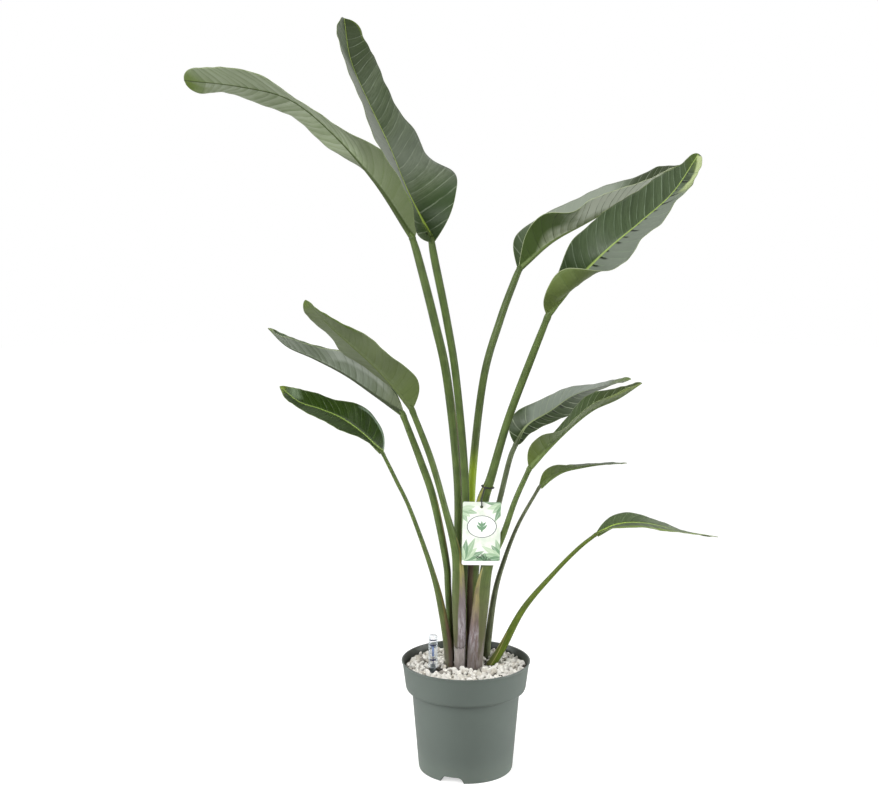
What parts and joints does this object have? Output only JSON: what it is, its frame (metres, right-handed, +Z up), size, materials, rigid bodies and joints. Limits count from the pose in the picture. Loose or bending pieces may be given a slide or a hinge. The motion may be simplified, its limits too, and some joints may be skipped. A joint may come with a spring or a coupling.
{
  "type": "potted bird of paradise plant",
  "caption": "Tall potted plant with long-stalked paddle-shaped leaves in a round culture pot of mineral granules, with a water gauge and a tag.",
  "frame": {"origin": "middle of the pot's underside, on the plane it stands on", "axes": "+Z up, along the pot's axis and the plant's height; +X to the right and -Y towards the viewer, so the fan of leaves spreads along X"},
  "size_m": [0.9022, 0.2841, 1.2631],
  "materials": {
    "pot_plastic": "matte",
    "granules": "matte",
    "root": "matte",
    "leaf": "satin",
    "gauge_plastic": "satin",
    "clear_plastic": "gloss",
    "blue_plastic": "satin",
    "card": "satin",
    "black_plastic": "satin"
  },
  "bodies": {
    "plant": {"pot": "pot_plastic", "substrate": "granules", "rhizome": "root", "leaf_01": "leaf", "leaf_02": "leaf", "leaf_03": "leaf", "leaf_04": "leaf", "leaf_05": "leaf", "leaf_06": "leaf", "leaf_07": "leaf", "leaf_08": "leaf", "leaf_09": "leaf", "leaf_10": "leaf", "leaf_11": "leaf", "gauge_body": "gauge_plastic", "gauge_tube": "clear_plastic", "tag_card": "card", "tag_loop": "black_plastic"},
    "indicator": {"gauge_float": "blue_plastic"}
  },
  "joints": [
    {"name": "water_level", "type": "slide", "parent": "plant", "child": "indicator", "axis": [0, 0, 1], "range_m": [0, 0.018]}
  ]
}
